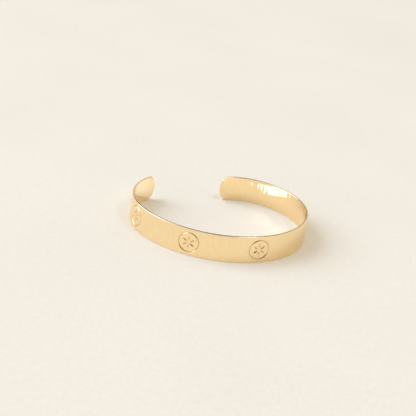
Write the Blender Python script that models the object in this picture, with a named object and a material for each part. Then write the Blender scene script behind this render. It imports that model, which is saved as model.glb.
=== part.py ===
"""A cuff bracelet: one flat strip of gold-plated brass with round ends, stamped with a row of
medallions, each a six-petalled flower in a ring, and then bent to a wrist. Metres, +Z up,
standing on its lower rim, with the open gap between its tips towards +Y."""
import math
from collections import namedtuple

import bmesh
import bpy
from mathutils import Matrix, Vector

# Driving sizes of the flat strip, in metres
STRIP_LENGTH = 0.1484
BAND_WIDTH = 0.0095
METAL_THICKNESS = 0.0008
TIP_BULGE = 0.0022          # how far the middle of a round tip stands out past its corners
EDGE_ROUND = 0.0002
LEAN_ANGLE = math.radians(2.0)       # the wall leans in this much towards the upper rim

# Driving sizes of the stamped medallions
MEDALLION_COUNT = 5
END_MARGIN = 0.0268         # from the middle of a tip to the centre of the last medallion
RING_MARGIN = 0.00115       # plain metal between a ring and the long edges of the strip
RING_LINE = 0.00036
PETAL_COUNT = 6
PETAL_WIDTH = 0.00064
PETAL_CLEARANCE = 0.0008    # plain metal between a ring and the petals inside it
FLOWER_HUB = 0.0004         # plain metal from the middle of a flower to its petals
STAMP_DEPTH = 0.00014
STAMP_DRAFT = 0.00006       # how much a stamped line narrows on each side towards its bottom

# How finely round things are divided
STATION_STEP = 0.0013       # along the strip, where it bends
PATH_STEPS = 960
TIP_SEGMENTS = 16
EDGE_SEGMENTS = 2
RING_SEGMENTS = 40
PETAL_SEGMENTS = 6
CUT_OVERLAP = 0.0004        # how far a cutter stands out of the face that it cuts
WELD_REACH = 1e-7           # corners nearer than this are one
CREASE_ANGLE = math.radians(30.0)

# The plating's own look
GOLD_COLOUR = (0.87, 0.62, 0.31, 1.0)
GOLD_ROUGHNESS = 0.24

# How sharply the strip is bent from its left tip to its right one, as turns per strip length
Bend = namedtuple("Bend", "share turns")
BENDS = (
    Bend(share=0.000, turns=1.15),
    Bend(share=0.125, turns=1.25),
    Bend(share=0.250, turns=0.75),
    Bend(share=0.375, turns=0.65),
    Bend(share=0.500, turns=0.70),
    Bend(share=0.625, turns=0.95),
    Bend(share=0.750, turns=1.15),
    Bend(share=0.875, turns=0.95),
    Bend(share=1.000, turns=1.50),
)

OUTER_FACE = -METAL_THICKNESS / 2   # Y of the face that shows, while the strip is flat
PathPoint = namedtuple("PathPoint", "place outward")


def clear_scene():
    for thing in list(bpy.data.objects):
        bpy.data.objects.remove(thing, do_unlink=True)


def plated_brass():
    gold = bpy.data.materials.new("gold_plated_brass")
    gold.use_nodes = True
    shader = gold.node_tree.nodes["Principled BSDF"]
    shader.inputs["Base Color"].default_value = GOLD_COLOUR
    shader.inputs["Metallic"].default_value = 1.0
    shader.inputs["Roughness"].default_value = GOLD_ROUGHNESS
    gold.diffuse_color = GOLD_COLOUR
    return gold


def new_object(name, mesh_maker):
    """An object at the origin from a bmesh that is made closed, with its faces pointing out."""
    bmesh.ops.recalc_face_normals(mesh_maker, faces=mesh_maker.faces)
    mesh = bpy.data.meshes.new(name)
    mesh_maker.to_mesh(mesh)
    mesh_maker.free()
    thing = bpy.data.objects.new(name, mesh)
    bpy.context.scene.collection.objects.link(thing)
    return thing


def arc(centre, radius, start, end, segments):
    """Points (along, height) on an arc, both ends included."""
    points = []
    for step in range(segments + 1):
        angle = start + (end - start) * step / segments
        along = centre[0] + radius * math.cos(angle)
        height = centre[1] + radius * math.sin(angle)
        points.append((along, height))
    return points


def extrude_outline(maker, outline, front, depth):
    """A solid between y = front and y = front + depth with the outline's form."""
    corners = [maker.verts.new((along, front, height)) for along, height in outline]
    face = maker.faces.new(corners)
    made = bmesh.ops.extrude_face_region(maker, geom=[face])
    moved = [item for item in made["geom"] if isinstance(item, bmesh.types.BMVert)]
    bmesh.ops.translate(maker, verts=moved, vec=(0.0, depth, 0.0))


def strip_outline():
    """The strip's flat outline: two straight long edges, and a shallow arc at each tip."""
    half_width = BAND_WIDTH / 2
    radius = (half_width ** 2 + TIP_BULGE ** 2) / (2 * TIP_BULGE)
    swing = math.asin(half_width / radius)
    centre = STRIP_LENGTH / 2 - radius
    right = arc((centre, half_width), radius, -swing, swing, TIP_SEGMENTS)
    left = arc((-centre, half_width), radius, math.pi - swing, math.pi + swing, TIP_SEGMENTS)
    return right + left


def divide_for_bending(maker):
    """Cross lines at even steps, so that the flat mesh can follow a curve."""
    stations = math.ceil(STRIP_LENGTH / STATION_STEP)
    for station in range(1, stations):
        along = STRIP_LENGTH * (station / stations - 0.5)
        bmesh.ops.bisect_plane(
            maker, geom=maker.verts[:] + maker.edges[:] + maker.faces[:], dist=WELD_REACH,
            plane_co=(along, 0.0, 0.0), plane_no=(1.0, 0.0, 0.0),
        )


def flat_strip():
    maker = bmesh.new()
    extrude_outline(maker, strip_outline(), OUTER_FACE, METAL_THICKNESS)
    rims = [
        edge for edge in maker.edges
        if abs(edge.verts[0].co.y - edge.verts[1].co.y) < METAL_THICKNESS / 2
    ]
    bmesh.ops.bevel(
        maker, geom=rims, offset=EDGE_ROUND, segments=EDGE_SEGMENTS, profile=0.5,
        affect="EDGES", clamp_overlap=True,
    )
    divide_for_bending(maker)
    return new_object("cuff_band", maker)


def ring_radius():
    """Outer radius of a stamped ring, which follows the strip's width."""
    return BAND_WIDTH / 2 - RING_MARGIN


def medallion_centres():
    reach = STRIP_LENGTH / 2 - END_MARGIN
    for index in range(MEDALLION_COUNT):
        share = index / (MEDALLION_COUNT - 1) if MEDALLION_COUNT > 1 else 0.5
        yield (-reach + 2 * reach * share, BAND_WIDTH / 2)


def add_ring(maker, centre):
    """A ring with sloping sides that sinks into the outer face."""
    outer = ring_radius()
    inner = outer - RING_LINE
    top = OUTER_FACE - CUT_OVERLAP
    bottom = OUTER_FACE + STAMP_DEPTH
    flare = STAMP_DRAFT * CUT_OVERLAP / STAMP_DEPTH
    section = (
        (outer + flare, top),
        (outer - STAMP_DRAFT, bottom),
        (inner + STAMP_DRAFT, bottom),
        (inner - flare, top),
    )
    corners = [maker.verts.new((centre[0] + radius, depth, centre[1])) for radius, depth in section]
    following = corners[1:] + corners[:1]
    edges = [maker.edges.new(pair) for pair in zip(corners, following)]
    bmesh.ops.spin(
        maker, geom=corners + edges, cent=(centre[0], 0.0, centre[1]), axis=(0.0, 1.0, 0.0),
        angle=math.tau, steps=RING_SEGMENTS, use_merge=True,
    )


def petal_outline():
    """A pointed petal between two equal arcs, pointing away from a flower's middle."""
    reach = ring_radius() - RING_LINE - PETAL_CLEARANCE
    half_length = (reach - FLOWER_HUB) / 2
    half_width = PETAL_WIDTH / 2
    radius = (half_length ** 2 + half_width ** 2) / (2 * half_width)
    swing = math.asin(half_length / radius)
    middle = FLOWER_HUB + half_length
    side = radius - half_width
    low = arc((middle, side), radius, -math.pi / 2 - swing, -math.pi / 2 + swing, PETAL_SEGMENTS)
    high = arc((middle, -side), radius, math.pi / 2 - swing, math.pi / 2 + swing, PETAL_SEGMENTS)
    return low[:-1] + high[:-1]


def add_petal(maker, centre, angle):
    """One petal of a flower, which sinks straight into the outer face."""
    turn = Matrix.Rotation(angle, 2)
    outline = []
    for point in petal_outline():
        turned = turn @ Vector(point)
        outline.append((centre[0] + turned.x, centre[1] + turned.y))
    extrude_outline(maker, outline, OUTER_FACE - CUT_OVERLAP, CUT_OVERLAP + STAMP_DEPTH)


def medallion_stamps():
    """All that the stamps cut away, as one cutter."""
    maker = bmesh.new()
    for centre in medallion_centres():
        add_ring(maker, centre)
        for petal in range(PETAL_COUNT):
            add_petal(maker, centre, math.tau * (petal + 0.5) / PETAL_COUNT)
    stamps = new_object("medallion_stamps", maker)
    stamps.hide_render = True
    stamps.display_type = "WIRE"
    return stamps


def stamped_strip(strip, stamps):
    """The strip's mesh with the stamps cut, in triangles."""
    cut = strip.modifiers.new("stamp", "BOOLEAN")
    cut.operation = "DIFFERENCE"
    cut.solver = "EXACT"
    cut.object = stamps
    bpy.context.view_layer.update()
    stamped = strip.evaluated_get(bpy.context.evaluated_depsgraph_get())
    maker = bmesh.new()
    maker.from_mesh(stamped.to_mesh())
    stamped.to_mesh_clear()
    strip.modifiers.remove(cut)
    bpy.data.objects.remove(stamps, do_unlink=True)
    bmesh.ops.remove_doubles(maker, verts=maker.verts[:], dist=WELD_REACH)
    bmesh.ops.triangulate(maker, faces=maker.faces[:])
    return maker


def bend_at(share):
    """Turns per strip length at a share of the length, straight between the table's rows."""
    for low, high in zip(BENDS, BENDS[1:]):
        if share <= high.share:
            part = (share - low.share) / (high.share - low.share)
            return low.turns + (high.turns - low.turns) * part
    return BENDS[-1].turns


def bent_path():
    """Evenly spaced points of the bent strip's middle line, with the gap turned towards +Y."""
    step = STRIP_LENGTH / PATH_STEPS
    place = Vector((0.0, 0.0))
    heading = 0.0
    places = [place]
    headings = [heading]
    for index in range(PATH_STEPS):
        turn = math.tau * bend_at((index + 0.5) / PATH_STEPS) / PATH_STEPS
        middle = heading + turn / 2
        place = place + step * Vector((math.cos(middle), math.sin(middle)))
        heading += turn
        places.append(place)
        headings.append(heading)
    chord = places[-1] - places[0]
    back = -math.atan2(chord.y, chord.x)
    square_up = Matrix.Rotation(back, 2)
    path = []
    for place, heading in zip(places, headings):
        outward = Vector((math.sin(heading + back), -math.cos(heading + back)))
        path.append(PathPoint(square_up @ place, outward))
    return path


def on_path(path, along):
    """Place and outward direction at a distance along the flat strip from its middle."""
    share = min(max(along / STRIP_LENGTH + 0.5, 0.0), 1.0) * PATH_STEPS
    index = min(int(share), PATH_STEPS - 1)
    part = share - index
    low = path[index]
    high = path[index + 1]
    return low.place.lerp(high.place, part), low.outward.lerp(high.outward, part).normalized()


def bend(maker):
    """Move every point of the flat strip on to the bent path, and centre it over the origin."""
    path = bent_path()
    for vert in maker.verts:
        along, depth, height = vert.co
        lean = math.tan(LEAN_ANGLE) * (BAND_WIDTH / 2 - height)
        place, outward = on_path(path, along)
        place = place + outward * (lean - depth)
        vert.co = (place.x, place.y, height)
    xs = [vert.co.x for vert in maker.verts]
    ys = [vert.co.y for vert in maker.verts]
    centre = Vector(((min(xs) + max(xs)) / 2, (min(ys) + max(ys)) / 2, 0.0))
    bmesh.ops.translate(maker, verts=maker.verts[:], vec=-centre)


def make_cuff():
    strip = flat_strip()
    maker = stamped_strip(strip, medallion_stamps())
    bend(maker)
    maker.to_mesh(strip.data)
    maker.free()
    strip.data.materials.append(plated_brass())
    strip.data.shade_smooth()
    strip.data.set_sharp_from_angle(angle=CREASE_ANGLE)
    return strip


clear_scene()
make_cuff()
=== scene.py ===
"""The looks of a gold-plated cuff bracelet: its band with every stamp cut fine, the satin finish
of its plating, and the pale table, soft light and camera that it is seen in."""

import math
from collections import namedtuple

import bmesh
import bpy
import numpy as np
from mathutils import Matrix, Quaternion, Vector


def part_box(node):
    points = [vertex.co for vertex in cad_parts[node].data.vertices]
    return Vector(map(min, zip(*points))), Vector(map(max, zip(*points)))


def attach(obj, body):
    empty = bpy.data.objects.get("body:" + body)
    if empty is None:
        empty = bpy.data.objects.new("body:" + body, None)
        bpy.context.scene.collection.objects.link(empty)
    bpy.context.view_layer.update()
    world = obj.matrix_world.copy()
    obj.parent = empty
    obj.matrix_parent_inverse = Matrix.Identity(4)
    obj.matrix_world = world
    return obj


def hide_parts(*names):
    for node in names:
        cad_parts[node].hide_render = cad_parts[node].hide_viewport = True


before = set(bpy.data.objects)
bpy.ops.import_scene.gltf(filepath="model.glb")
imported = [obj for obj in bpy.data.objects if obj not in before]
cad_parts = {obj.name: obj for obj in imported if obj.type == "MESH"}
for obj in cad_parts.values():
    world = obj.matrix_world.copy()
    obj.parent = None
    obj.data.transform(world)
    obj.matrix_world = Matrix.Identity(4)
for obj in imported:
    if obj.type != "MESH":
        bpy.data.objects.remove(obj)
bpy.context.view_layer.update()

MM = 0.001
band_low, band_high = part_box("cuff_band")

# The flat strip, as the goldsmith cuts it
STRIP_LENGTH = 148.4 * MM
BAND_WIDTH = band_high.z - band_low.z
METAL_THICKNESS = 0.8 * MM
TIP_BULGE = 2.2 * MM
EDGE_ROUND = 0.2 * MM
LEAN_ANGLE = math.radians(2.0)

# The stamps on its outer face
MEDALLION_COUNT = 5
END_MARGIN = 26.8 * MM
RING_MARGIN = 1.15 * MM
RING_LINE = 0.36 * MM
PETAL_COUNT = 6
PETAL_WIDTH = 0.64 * MM
PETAL_CLEARANCE = 0.8 * MM
FLOWER_HUB = 0.4 * MM
STAMP_DEPTH = 0.14 * MM

# How finely round things are divided
COLUMN_STEP = 0.4 * MM
PATH_STEPS = 2400
TIP_SEGMENTS = 40
EDGE_SEGMENTS = 8
RING_SEGMENTS = 120
PETAL_SEGMENTS = 12
CUT_OVERLAP = 0.02 * MM
WELD_REACH = 0.0001 * MM
CREASE_ANGLE = math.radians(15.0)   # edges sharper than this stay crisp

# How sharply the strip is bent from its left tip to its right one, as turns per strip length
Bend = namedtuple("Bend", "share turns")
BENDS = (
    Bend(share=0.000, turns=1.15),
    Bend(share=0.125, turns=1.25),
    Bend(share=0.250, turns=0.75),
    Bend(share=0.375, turns=0.65),
    Bend(share=0.500, turns=0.70),
    Bend(share=0.625, turns=0.95),
    Bend(share=0.750, turns=1.15),
    Bend(share=0.875, turns=0.95),
    Bend(share=1.000, turns=1.50),
)

OUTER_FACE = -METAL_THICKNESS / 2   # Y of the face that shows, while the strip is flat
RING_RADIUS = BAND_WIDTH / 2 - RING_MARGIN
STRIP_PLACE = "strip_place"         # each point's place on the flat strip, kept for the finish
STAMP_SHARE = "stamp_share"         # and how deep in a stamp it lies, from 0 to 1
PAST_STAMPS = 1.5                   # points deeper than this share are not in a stamp

# The photograph's view of the bracelet
VIEW_AZIMUTH = math.radians(-16.9)
VIEW_ELEVATION = math.radians(26.0)
VIEW_ROLL = math.radians(8.87)
VIEW_DISTANCE = 332.66 * MM
VIEW_AIM = Vector((-4.46, 2.41, 6.82)) * MM
LENS = 82.6
SENSOR = 36.0
NEAR_CLIP = 10.0 * MM


# The band's shape

def arc(centre, radius, start, end, segments):
    """Points (along, height) on an arc, both ends included."""
    angles = [start + (end - start) * step / segments for step in range(segments + 1)]
    return [(centre[0] + radius * math.cos(a), centre[1] + radius * math.sin(a)) for a in angles]


def strip_outline():
    """The flat strip seen from its face: straight long edges and a round tip at each end."""
    half_width = BAND_WIDTH / 2
    radius = (half_width ** 2 + TIP_BULGE ** 2) / (2 * TIP_BULGE)
    swing = math.asin(half_width / radius)
    centre = STRIP_LENGTH / 2 - radius
    right = arc((centre, half_width), radius, -swing, swing, TIP_SEGMENTS)
    left = arc((-centre, half_width), radius, math.pi - swing, math.pi + swing, TIP_SEGMENTS)
    return right + left


def closed_mesh(name, maker):
    """An object made from a bmesh, its normals turned outward."""
    bmesh.ops.recalc_face_normals(maker, faces=maker.faces)
    mesh = bpy.data.meshes.new(name)
    maker.to_mesh(mesh)
    maker.free()
    thing = bpy.data.objects.new(name, mesh)
    bpy.context.scene.collection.objects.link(thing)
    return thing


def cut_blank():
    """The flat strip with filed edges, divided across so that it can be bent."""
    maker = bmesh.new()
    corners = [maker.verts.new((along, OUTER_FACE, height)) for along, height in strip_outline()]
    face = maker.faces.new(corners)
    made = bmesh.ops.extrude_face_region(maker, geom=[face])
    back = [item for item in made["geom"] if isinstance(item, bmesh.types.BMVert)]
    bmesh.ops.translate(maker, verts=back, vec=(0.0, METAL_THICKNESS, 0.0))
    rims = [
        edge for edge in maker.edges
        if abs(edge.verts[0].co.y - edge.verts[1].co.y) < METAL_THICKNESS / 2
    ]
    bmesh.ops.bevel(
        maker, geom=rims, offset=EDGE_ROUND, segments=EDGE_SEGMENTS, profile=0.5,
        affect="EDGES", clamp_overlap=True,
    )
    columns = math.ceil(STRIP_LENGTH / COLUMN_STEP)
    for column in range(1, columns):
        along = STRIP_LENGTH * (column / columns - 0.5)
        ahead = [face for face in maker.faces if max(v.co.x for v in face.verts) > along]
        edges = {edge for face in ahead for edge in face.edges}
        verts = {vert for face in ahead for vert in face.verts}
        bmesh.ops.bisect_plane(
            maker, geom=[*verts, *edges, *ahead], dist=WELD_REACH,
            plane_co=(along, 0.0, 0.0), plane_no=(1.0, 0.0, 0.0),
        )
    return closed_mesh("cuff_band_satin", maker)


def add_ring(maker, centre):
    """A ring cut round a medallion's middle: two sloping sides that meet in a keel."""
    half_line = RING_LINE / 2
    middle = RING_RADIUS - half_line
    grown = half_line * (1 + CUT_OVERLAP / STAMP_DEPTH)
    section = [(-grown, -CUT_OVERLAP), (0.0, STAMP_DEPTH), (grown, -CUT_OVERLAP)]
    corners = [
        maker.verts.new((centre[0] + middle + off, OUTER_FACE + depth, centre[1]))
        for off, depth in section
    ]
    edges = [maker.edges.new(pair) for pair in zip(corners, corners[1:] + corners[:1])]
    bmesh.ops.spin(
        maker, geom=corners + edges, cent=(centre[0], 0.0, centre[1]), axis=(0.0, 1.0, 0.0),
        angle=math.tau, steps=RING_SEGMENTS, use_merge=True,
    )


def add_petal(maker, centre, angle):
    """A petal cut with a graver: two sloping sides that meet in a keel."""
    reach = RING_RADIUS - RING_LINE - PETAL_CLEARANCE
    half_length = (reach - FLOWER_HUB) / 2
    half_width = PETAL_WIDTH / 2
    slope = half_width / STAMP_DEPTH
    grown = 1 + CUT_OVERLAP * slope / half_width
    turn = Matrix.Rotation(angle, 2)

    def corner(along, across, depth):
        place = turn @ Vector((along, across))
        return maker.verts.new((centre[0] + place.x, OUTER_FACE + depth, centre[1] + place.y))

    rows = []
    for step in range(1, PETAL_SEGMENTS):
        share = 2 * step / PETAL_SEGMENTS - 1
        fullness = 1 - share ** 2
        along = FLOWER_HUB + half_length * (1 + share)
        width = half_width * fullness
        rows.append([
            corner(along, -grown * width, -CUT_OVERLAP),
            corner(along, 0.0, STAMP_DEPTH * fullness),
            corner(along, grown * width, -CUT_OVERLAP),
        ])
    ends = [corner(along, 0.0, -CUT_OVERLAP) for along in (FLOWER_HUB, reach)]
    for near, far in zip(rows, rows[1:]):
        maker.faces.new((near[0], far[0], far[1], near[1]))
        maker.faces.new((near[1], far[1], far[2], near[2]))
    for end, row in ((ends[0], rows[0]), (ends[1], rows[-1])):
        maker.faces.new((end, row[0], row[1]))
        maker.faces.new((end, row[1], row[2]))
    rim = [ends[0]] + [row[0] for row in rows] + [ends[1]] + [row[2] for row in reversed(rows)]
    maker.faces.new(rim)


def medallion_centres():
    """The middles of the medallions on the flat strip, as (along, height)."""
    reach = STRIP_LENGTH / 2 - END_MARGIN
    shares = [2 * index / (MEDALLION_COUNT - 1) - 1 for index in range(MEDALLION_COUNT)]
    return [(reach * share, BAND_WIDTH / 2) for share in shares]


def medallion_stamps():
    """All the cuts of the medallions as one closed cutter: a ring with a flower in each."""
    maker = bmesh.new()
    for centre in medallion_centres():
        add_ring(maker, centre)
        for petal in range(PETAL_COUNT):
            add_petal(maker, centre, math.tau * (petal + 0.5) / PETAL_COUNT)
    return closed_mesh("medallion_stamps", maker)


def evaluated_bmesh(thing):
    """An object's mesh as its modifiers leave it."""
    bpy.context.view_layer.update()
    shown = thing.evaluated_get(bpy.context.evaluated_depsgraph_get())
    maker = bmesh.new()
    maker.from_mesh(shown.to_mesh())
    shown.to_mesh_clear()
    return maker


def stamp(band, stamps):
    """Cut the stamps into the flat strip, and keep only the edges of the cuts sharp."""
    cut = band.modifiers.new("stamp", "BOOLEAN")
    cut.operation = "DIFFERENCE"
    cut.solver = "EXACT"
    cut.object = stamps
    maker = evaluated_bmesh(band)
    band.modifiers.remove(cut)
    bpy.data.objects.remove(stamps, do_unlink=True)
    bmesh.ops.remove_doubles(maker, verts=maker.verts[:], dist=WELD_REACH)
    bmesh.ops.triangulate(maker, faces=maker.faces[:])
    for face in maker.faces:
        face.smooth = True
    for edge in maker.edges:
        edge.smooth = edge.calc_face_angle(0.0) < CREASE_ANGLE
    maker.to_mesh(band.data)
    maker.free()


def flat_normals(band):
    """Each corner's normal on the flat strip, where broad faces stay flat, narrow ones round over
    into them, and the cuts of the stamps stay crisp."""
    weigh = band.modifiers.new("round_over", "WEIGHTED_NORMAL")
    weigh.mode = "FACE_AREA"
    weigh.keep_sharp = True
    bpy.context.view_layer.update()
    shown = band.evaluated_get(bpy.context.evaluated_depsgraph_get())
    mesh = shown.to_mesh()
    normals = np.empty(len(mesh.loops) * 3)
    mesh.corner_normals.foreach_get("vector", normals)
    shown.to_mesh_clear()
    band.modifiers.remove(weigh)
    return normals.reshape(-1, 3)


def bent_path():
    """Places and headings at even steps along the strip's middle line, gap towards +Y."""
    middles = (np.arange(PATH_STEPS) + 0.5) / PATH_STEPS
    turns = np.interp(middles, [b.share for b in BENDS], [b.turns for b in BENDS])
    headings = np.concatenate(([0.0], np.cumsum(turns) * math.tau / PATH_STEPS))
    between = (headings[1:] + headings[:-1]) / 2
    steps = np.column_stack((np.cos(between), np.sin(between))) * STRIP_LENGTH / PATH_STEPS
    places = np.vstack(([0.0, 0.0], np.cumsum(steps, axis=0)))
    back = math.atan2(places[-1, 1], places[-1, 0])
    square_up = np.array(((math.cos(back), -math.sin(back)), (math.sin(back), math.cos(back))))
    return places @ square_up, headings - back


def stamp_share(along, depth, height):
    """How deep each point of the flat strip lies in a stamp: 1 at the bottom, 0 everywhere else."""
    gaps = [np.hypot(along - centre[0], height - centre[1]) for centre in medallion_centres()]
    stamped = np.min(gaps, axis=0) < RING_RADIUS + RING_LINE
    share = (depth - OUTER_FACE) / STAMP_DEPTH
    return np.where(stamped & (share < PAST_STAMPS), np.clip(share, 0.0, 1.0), 0.0)


def bend(band):
    """Carry the flat strip's points and normals round the path, and centre it on its solid."""
    mesh = band.data
    normals = flat_normals(band)
    flat = np.empty(len(mesh.vertices) * 3)
    mesh.vertices.foreach_get("co", flat)
    along, depth, height = flat.reshape(-1, 3).T
    places, headings = bent_path()
    stations = np.linspace(-STRIP_LENGTH / 2, STRIP_LENGTH / 2, PATH_STEPS + 1)
    heading = np.interp(along, stations, headings)
    ahead = np.column_stack((np.cos(heading), np.sin(heading)))
    outward = np.column_stack((np.sin(heading), -np.cos(heading)))
    middle = np.column_stack([np.interp(along, stations, places[:, axis]) for axis in (0, 1)])
    lean = math.tan(LEAN_ANGLE)
    out = lean * (BAND_WIDTH / 2 - height) - depth
    bent = middle + outward * out[:, None]
    centre = (bent.min(axis=0) + bent.max(axis=0)) / 2
    bent += np.array(((band_low + band_high) / 2)[:2]) - centre
    points = np.column_stack((bent, height + band_low.z))
    mesh.vertices.foreach_set("co", points.ravel())

    kept = mesh.attributes.new(STRIP_PLACE, "FLOAT_VECTOR", "POINT")
    kept.data.foreach_set("vector", np.column_stack((along, -depth, height)).ravel())
    kept = mesh.attributes.new(STAMP_SHARE, "FLOAT", "POINT")
    kept.data.foreach_set("value", stamp_share(along, depth, height))

    owner = np.empty(len(mesh.loops), dtype=np.int32)
    mesh.loops.foreach_get("vertex_index", owner)
    up = normals[:, 2] - lean * normals[:, 1]
    side = ahead[owner] * normals[:, :1] - outward[owner] * normals[:, 1:2]
    turned = np.column_stack((side, up))
    turned /= np.linalg.norm(turned, axis=1)[:, None]
    mesh.update()
    mesh.normals_split_custom_set(turned.tolist())


def make_band():
    """Stamp the strip, bend it, plate it, and put it in the place of the plain solid."""
    band = cut_blank()
    stamp(band, medallion_stamps())
    bend(band)
    band.data.materials.append(gold_plate())
    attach(band, "root")
    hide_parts("cuff_band")


# Finishes

def srgb(code, alpha=1.0):
    """A linear colour from an sRGB hex code."""
    channels = [int(code[i:i + 2], 16) / 255 for i in (0, 2, 4)]
    return (*[c / 12.92 if c <= 0.04045 else ((c + 0.055) / 1.055) ** 2.4 for c in channels], alpha)


def add(tree, kind, settings=None, links=None, **properties):
    """A node with its properties, the values of its inputs, and what feeds them."""
    node = tree.nodes.new(kind)
    for name, value in properties.items():
        setattr(node, name, value)
    for socket, value in (settings or {}).items():
        node.inputs[socket].default_value = value
    for socket, source in (links or {}).items():
        tree.links.new(source, node.inputs[socket])
    return node


def new_material(name):
    """A material with its node tree and its shader."""
    material = bpy.data.materials.new(name)
    material.use_nodes = True
    tree = material.node_tree
    return material, tree, tree.nodes["Principled BSDF"]


GRAIN_SPACING = 0.40 * MM       # real brush marks are near 0.05 mm apart: drawn coarser, to show
GRAIN_LENGTH = 3.0 * MM
GRAIN_HEIGHT = 0.004 * MM
WAVE_SIZE = 9.0 * MM            # where hand bending leaves the sheet a little uneven
WAVE_HEIGHT = 0.02 * MM
HANDLING_SIZE = 6.0 * MM        # patches that touch has left a little duller
STREAK_SPACING = 1.6 * MM       # soft bands across the strip, kept from the rolling of the sheet
STREAK_LENGTH = 40.0 * MM
STREAK_HEIGHT = 0.09 * MM       # deeper than real ones, to show
BRUSHED_TONE = (0.35, 0.65)     # the part of the grain that runs from the deep tone to the pale
STREAK_SHARE = 0.6              # of the bands against the handling, in the plate's tone
GRAIN_SHARE = 0.6               # of the brush marks against both
STAMP_SHADE_FULL = 0.5           # how deep in a stamp its painted shade is full, as a share of its depth
HANDLED = (0.3, 0.7)            # the part of the handling that runs from smooth satin to rough
RIM_STARTS = BAND_WIDTH / 2 - 1.6 * EDGE_ROUND     # heights from the band's middle line
RIM_FULL = BAND_WIDTH / 2 - 0.6 * EDGE_ROUND
PLATE_DEEP = "FFDEA8"
PLATE_PALE = "FFEDC4"
# a brown tone painted into the stamps as shade, fullest towards their bottoms
STAMP_SHADE = "DDC290"
RIM_TONE = "FFEBC6"
SATIN_ROUGHNESS = (0.15, 0.21)
INSIDE_ROUGHNESS = 0.08
RIM_ROUGHNESS = 0.17


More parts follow.
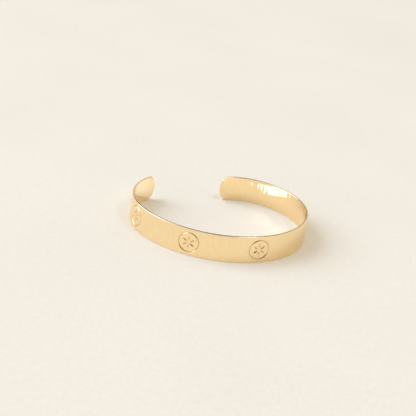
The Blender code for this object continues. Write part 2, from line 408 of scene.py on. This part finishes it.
def gold_plate():
    """Brass sheet, brushed across the band and electroplated with pale 18 ct gold: a soft satin
    that mirrors the table, smoother inside, plain and bright on its filed edges, and darker in
    the stamps, where the brown tone is painted shade."""
    material, tree, shader = new_material("satin_gold_plate")
    place = add(tree, "ShaderNodeAttribute", attribute_type="GEOMETRY", attribute_name=STRIP_PLACE)
    parts = add(tree, "ShaderNodeSeparateXYZ", links={"Vector": place.outputs["Vector"]})
    depth = parts.outputs["Y"]
    height = parts.outputs["Z"]

    # brushed grain, long across the band and close together along it
    grain_place = add(tree, "ShaderNodeVectorMath", operation="MULTIPLY",
                      settings={1: (1 / GRAIN_SPACING, 1 / GRAIN_LENGTH, 1 / GRAIN_LENGTH)},
                      links={0: place.outputs["Vector"]})
    grain = add(tree, "ShaderNodeTexNoise", settings={"Scale": 1.0, "Detail": 3.0, "Roughness": 0.6},
                links={"Vector": grain_place.outputs["Vector"]})
    wave = add(tree, "ShaderNodeTexNoise", settings={"Scale": 1 / WAVE_SIZE, "Detail": 1.0},
               links={"Vector": place.outputs["Vector"]})
    handling = add(tree, "ShaderNodeTexNoise",
                   settings={"Scale": 1 / HANDLING_SIZE, "Detail": 4.0, "Roughness": 0.6},
                   links={"Vector": place.outputs["Vector"]})

    streak_place = add(tree, "ShaderNodeVectorMath", operation="MULTIPLY",
                       settings={1: (1 / STREAK_SPACING, 1 / STREAK_LENGTH, 1 / STREAK_LENGTH)},
                       links={0: place.outputs["Vector"]})
    streak = add(tree, "ShaderNodeTexNoise", settings={"Scale": 1.0, "Detail": 2.0},
                 links={"Vector": streak_place.outputs["Vector"]})
    mottle = add(tree, "ShaderNodeMix", data_type="FLOAT", settings={0: STREAK_SHARE},
                 links={2: handling.outputs["Fac"], 3: streak.outputs["Fac"]})

    scratches = add(tree, "ShaderNodeMapRange", settings={
        "From Min": BRUSHED_TONE[0], "From Max": BRUSHED_TONE[1],
    }, links={"Value": grain.outputs["Fac"]})
    tone = add(tree, "ShaderNodeMix", data_type="FLOAT", settings={0: GRAIN_SHARE},
               links={2: mottle.outputs[0], 3: scratches.outputs["Result"]})

    # how near a point lies to either long edge: 1 on the filed rim, 0 on the faces
    from_middle = add(tree, "ShaderNodeMath", operation="SUBTRACT", settings={1: BAND_WIDTH / 2},
                      links={0: height})
    off_middle = add(tree, "ShaderNodeMath", operation="ABSOLUTE", links={0: from_middle.outputs[0]})
    rim = add(tree, "ShaderNodeMapRange", interpolation_type="SMOOTHSTEP",
              settings={"From Min": RIM_STARTS, "From Max": RIM_FULL},
              links={"Value": off_middle.outputs[0]})

    # colour: the plate's two tones, then painted shade in the stamps and the rim's bright gold over
    # them
    stamped = add(tree, "ShaderNodeAttribute", attribute_type="GEOMETRY", attribute_name=STAMP_SHARE)
    stamp_shade_mask = add(tree, "ShaderNodeMapRange", interpolation_type="SMOOTHSTEP",
                   settings={"From Min": 0.0, "From Max": STAMP_SHADE_FULL},
                   links={"Value": stamped.outputs["Fac"]})
    plate = add(tree, "ShaderNodeMix", data_type="RGBA",
                settings={6: srgb(PLATE_DEEP), 7: srgb(PLATE_PALE)},
                links={0: tone.outputs[0]})
    # painted shade: the stamps are darkened towards their bottoms
    stamp_shaded = add(tree, "ShaderNodeMix", data_type="RGBA", settings={7: srgb(STAMP_SHADE)},
                 links={0: stamp_shade_mask.outputs["Result"], 6: plate.outputs[2]})
    polished = add(tree, "ShaderNodeMix", data_type="RGBA", settings={7: srgb(RIM_TONE)},
                   links={0: rim.outputs["Result"], 6: stamp_shaded.outputs[2]})
    tree.links.new(polished.outputs[2], shader.inputs["Base Color"])

    # roughness: satin outside, smoother inside, and its own on the rim
    satin = add(tree, "ShaderNodeMapRange",
                settings={"From Min": HANDLED[0], "From Max": HANDLED[1],
                          "To Min": SATIN_ROUGHNESS[0], "To Max": SATIN_ROUGHNESS[1]},
                links={"Value": handling.outputs["Fac"]})
    inside = add(tree, "ShaderNodeMapRange",
                 settings={"From Min": 0.0, "From Max": -METAL_THICKNESS / 2}, links={"Value": depth})
    faces = add(tree, "ShaderNodeMix", data_type="FLOAT", settings={3: INSIDE_ROUGHNESS},
                links={0: inside.outputs["Result"], 2: satin.outputs["Result"]})
    filed = add(tree, "ShaderNodeMix", data_type="FLOAT", settings={3: RIM_ROUGHNESS},
                links={0: rim.outputs["Result"], 2: faces.outputs[0]})
    tree.links.new(filed.outputs[0], shader.inputs["Roughness"])

    # the faces keep their brushing, rolling lines and hand bending, and the filed rim none of them
    off_rim = add(tree, "ShaderNodeMath", operation="SUBTRACT", settings={0: 1.0},
                  links={1: rim.outputs["Result"]})
    relief = None
    for bumps, relief_height in ((grain, GRAIN_HEIGHT), (streak, STREAK_HEIGHT), (wave, WAVE_HEIGHT)):
        fed = {"Height": bumps.outputs["Fac"], "Strength": off_rim.outputs[0]}
        if relief:
            fed["Normal"] = relief.outputs["Normal"]
        relief = add(tree, "ShaderNodeBump", settings={"Distance": relief_height}, links=fed)
    tree.links.new(relief.outputs["Normal"], shader.inputs["Normal"])
    shader.inputs["Metallic"].default_value = 1.0
    return material


FLOOR_WIDTH = 12.0
FLOOR_SQUARES = 8
ROLLER_NAP = 1.8 * MM           # the stipple that a short-pile roller leaves in emulsion paint
NAP_HEIGHT = 0.12 * MM
CLOUD_SIZE = 70.0 * MM          # where the paint lies a little thicker or thinner
CLOUD_SHARE = 0.5               # of the clouds against the stipple, in the paint's tone
PAINT_DARK = "E9E6DE"
PAINT_LIGHT = "F8F5EF"
PAINT_ROUGHNESS = 0.85
PAINT_SPECULAR = 0.2


def painted_board():
    """A table board under matt emulsion paint: chalky, with the roller's faint stipple."""
    material, tree, shader = new_material("matt_painted_board")
    place = add(tree, "ShaderNodeTexCoord")
    stipple = add(tree, "ShaderNodeTexNoise", settings={"Scale": 1 / ROLLER_NAP, "Detail": 3.0},
                  links={"Vector": place.outputs["Object"]})
    cloud = add(tree, "ShaderNodeTexNoise", settings={"Scale": 1 / CLOUD_SIZE, "Detail": 2.0},
                links={"Vector": place.outputs["Object"]})
    shade = add(tree, "ShaderNodeMix", data_type="FLOAT", settings={0: CLOUD_SHARE},
                links={2: stipple.outputs["Fac"], 3: cloud.outputs["Fac"]})
    paint = add(tree, "ShaderNodeMix", data_type="RGBA",
                settings={6: srgb(PAINT_DARK), 7: srgb(PAINT_LIGHT)}, links={0: shade.outputs[0]})
    tree.links.new(paint.outputs[2], shader.inputs["Base Color"])
    relief = add(tree, "ShaderNodeBump", settings={"Strength": 1.0, "Distance": NAP_HEIGHT},
                 links={"Height": stipple.outputs["Fac"]})
    tree.links.new(relief.outputs["Normal"], shader.inputs["Normal"])
    shader.inputs["Roughness"].default_value = PAINT_ROUGHNESS
    shader.inputs["Specular IOR Level"].default_value = PAINT_SPECULAR
    return material


def lay_floor():
    maker = bmesh.new()
    bmesh.ops.create_grid(
        maker, x_segments=FLOOR_SQUARES, y_segments=FLOOR_SQUARES, size=FLOOR_WIDTH / 2,
    )
    mesh = bpy.data.meshes.new("table_top")
    maker.to_mesh(mesh)
    maker.free()
    floor = bpy.data.objects.new("table_top", mesh)
    bpy.context.scene.collection.objects.link(floor)
    mesh.materials.append(painted_board())


# Light and camera

# A flat lamp of a size in metres and a power in watts, that shines from a place towards a point,
# and how wide it fans out
Lamp = namedtuple("Lamp", "name place aim size power colour fan", defaults=(math.pi,))
ROOM_LAMPS = (
    Lamp("window_light", place=(-4.44, 1.44, 3.78), aim=(0.0, 0.0, 0.0),
         size=(5.0, 5.0), power=250.0, colour="D9E7FF"),
    Lamp("ceiling_light", place=(0.75, -0.85, 2.0), aim=(0.0, 0.0, 0.0),
         size=(0.7, 0.7), power=7.5, colour="FFFFFF"),
)
# These show only where they are mirrored: as striped glare in the right end, and as pale light in
# the left end and on the rim over it
MIRRORED_CARDS = (
    Lamp("glint_card", place=(0.0138, 0.0128, 0.0020), aim=(0.0258, 0.0131, 0.0085),
         size=(0.0009, 0.0031), power=1.9e-5, colour="FFFFFF"),
    Lamp("pale_card", place=(-0.01929, 0.02062, 0.00349), aim=(-0.02355, 0.01937, 0.0058),
         size=(0.0032, 0.0068), power=4.4e-6, colour="CDE1FF", fan=math.radians(90.0)),
    Lamp("rim_card", place=(-0.0240, 0.0270, 0.0162), aim=(-0.0270, 0.0140, 0.0095),
         size=(0.021, 0.010), power=6.5e-5, colour="FFF8EC", fan=math.radians(90.0)),
)
# What the smooth inside throws back on the table
INNER_GLOW = Lamp("inner_glow", place=(0.021, 0.004, 0.0062), aim=(0.006, 0.001, 0.0),
                  size=(0.020, 0.006), power=2.4e-4, colour="FFE4BA")


def soft_box(lamp):
    data = bpy.data.lights.new(lamp.name, "AREA")
    data.shape = "RECTANGLE"
    data.size, data.size_y = lamp.size
    data.energy = lamp.power
    data.color = srgb(lamp.colour)[:3]
    data.spread = lamp.fan
    shown = bpy.data.objects.new(lamp.name, data)
    shown.location = lamp.place
    shown.rotation_mode = "QUATERNION"
    shown.rotation_quaternion = (Vector(lamp.aim) - Vector(lamp.place)).to_track_quat("-Z", "Y")
    bpy.context.scene.collection.objects.link(shown)
    return shown


def toward(azimuth, elevation):
    """The direction at an azimuth, clockwise from +Y, and an elevation, both in degrees."""
    turn, rise = math.radians(azimuth), math.radians(elevation)
    return (math.sin(turn) * math.cos(rise), math.cos(turn) * math.cos(rise), math.sin(rise))


# What the studio's pale walls hold for the metal to mirror: an unlit opening high on the far side,
# and the dim side of the room behind the camera
Patch = namedtuple("Patch", "azimuth elevation radius softness colour")
ROOM = (
    Patch(azimuth=13.0, elevation=33.0, radius=11.0, softness=1.2, colour="2A1F12"),
    Patch(azimuth=180.0, elevation=36.0, radius=27.0, softness=6.0, colour="6E5C48"),
)
WALL_COLOUR = "FFF4DE"
WALL_STRENGTH = 0.76


def room_walls():
    world = bpy.data.worlds.new("studio_walls")
    bpy.context.scene.world = world
    world.use_nodes = True
    tree = world.node_tree
    background = tree.nodes["Background"]
    place = add(tree, "ShaderNodeTexCoord")
    colour = add(tree, "ShaderNodeRGB")
    colour.outputs[0].default_value = srgb(WALL_COLOUR)
    seen = colour.outputs[0]
    for patch in ROOM:
        near = add(tree, "ShaderNodeVectorMath", operation="DOT_PRODUCT",
                   settings={1: toward(patch.azimuth, patch.elevation)},
                   links={0: place.outputs["Generated"]})
        inside = add(tree, "ShaderNodeMapRange", interpolation_type="SMOOTHSTEP", settings={
            "From Min": math.cos(math.radians(patch.radius + patch.softness)),
            "From Max": math.cos(math.radians(patch.radius - patch.softness)),
        }, links={"Value": near.outputs["Value"]})
        mixed = add(tree, "ShaderNodeMix", data_type="RGBA", settings={7: srgb(patch.colour)},
                    links={0: inside.outputs["Result"], 6: seen})
        seen = mixed.outputs[2]
    tree.links.new(seen, background.inputs["Color"])
    background.inputs["Strength"].default_value = WALL_STRENGTH


def light_studio():
    for lamp in ROOM_LAMPS:
        soft_box(lamp)
    for lamp in MIRRORED_CARDS:
        card = soft_box(lamp)
        card.visible_camera = False
        card.visible_diffuse = False
    glow = soft_box(INNER_GLOW)
    glow.visible_camera = False
    glow.visible_glossy = False
    room_walls()


def set_camera():
    """The photograph's view of the bracelet, its roll included."""
    data = bpy.data.cameras.new("photo_view")
    data.sensor_width = SENSOR
    data.lens = LENS
    data.clip_start = NEAR_CLIP
    camera = bpy.data.objects.new("photo_view", data)
    back = Vector((
        math.sin(VIEW_AZIMUTH) * math.cos(VIEW_ELEVATION),
        -math.cos(VIEW_AZIMUTH) * math.cos(VIEW_ELEVATION),
        math.sin(VIEW_ELEVATION),
    ))
    camera.location = VIEW_AIM + VIEW_DISTANCE * back
    camera.rotation_mode = "QUATERNION"
    level = back.to_track_quat("Z", "Y")
    camera.rotation_quaternion = level @ Quaternion((0.0, 0.0, 1.0), VIEW_ROLL)
    bpy.context.scene.collection.objects.link(camera)
    bpy.context.scene.camera = camera


set_camera()
make_band()
lay_floor()
light_studio()
bpy.context.scene.view_settings.view_transform = "Standard"
